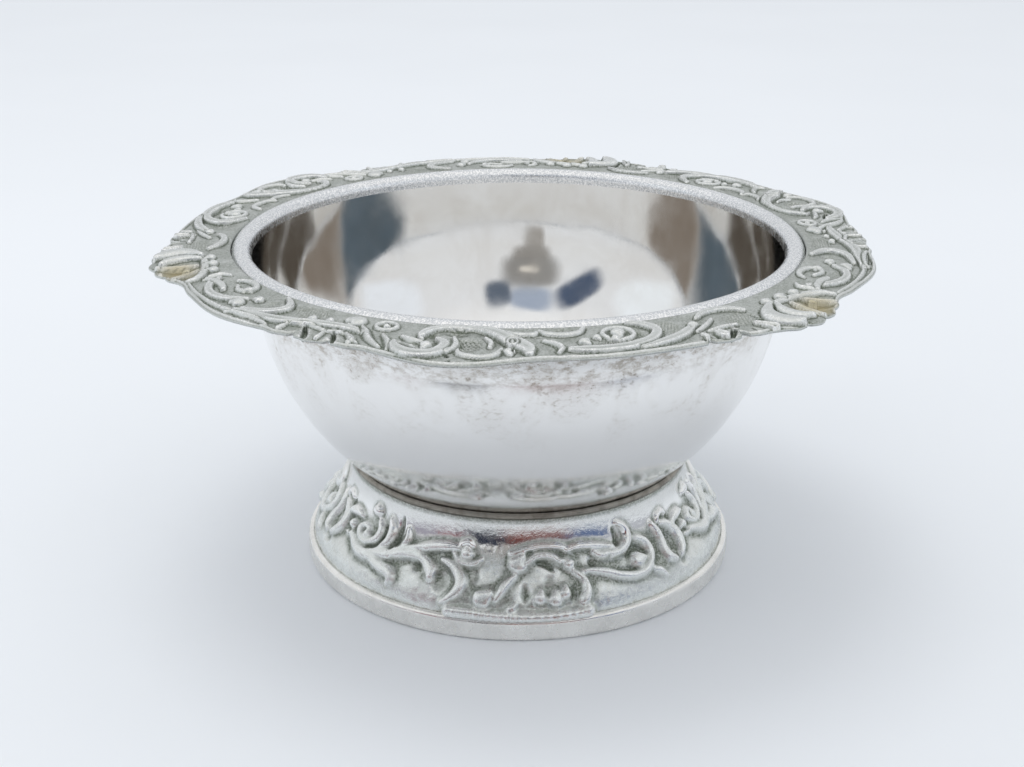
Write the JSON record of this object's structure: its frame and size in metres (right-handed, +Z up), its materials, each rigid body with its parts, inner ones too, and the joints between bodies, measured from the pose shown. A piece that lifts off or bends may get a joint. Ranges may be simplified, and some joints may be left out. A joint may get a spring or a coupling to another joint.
{
  "type": "salt cellar",
  "caption": "Round open salt cellar: a spun bowl with a lobed scroll-and-shell border on a spreading cast foot with a plain base band",
  "frame": {"origin": "on the table, under the middle of the bowl", "axes": "+Z up along the bowl's axis, the pictured front faces -Y, +X to its right"},
  "size_m": [0.0784, 0.0801, 0.0383],
  "materials": {
    "polished_silver": "bright polished silver with faint tarnish",
    "cast_silver": "cast silver relief, greyed in its recesses and bright on its high edges"
  },
  "bodies": {
    "root": {"bowl": "polished_silver", "rim_border": "cast_silver", "neck_ring": "polished_silver", "foot": "cast_silver", "foot_band": "polished_silver"}
  },
  "joints": []
}
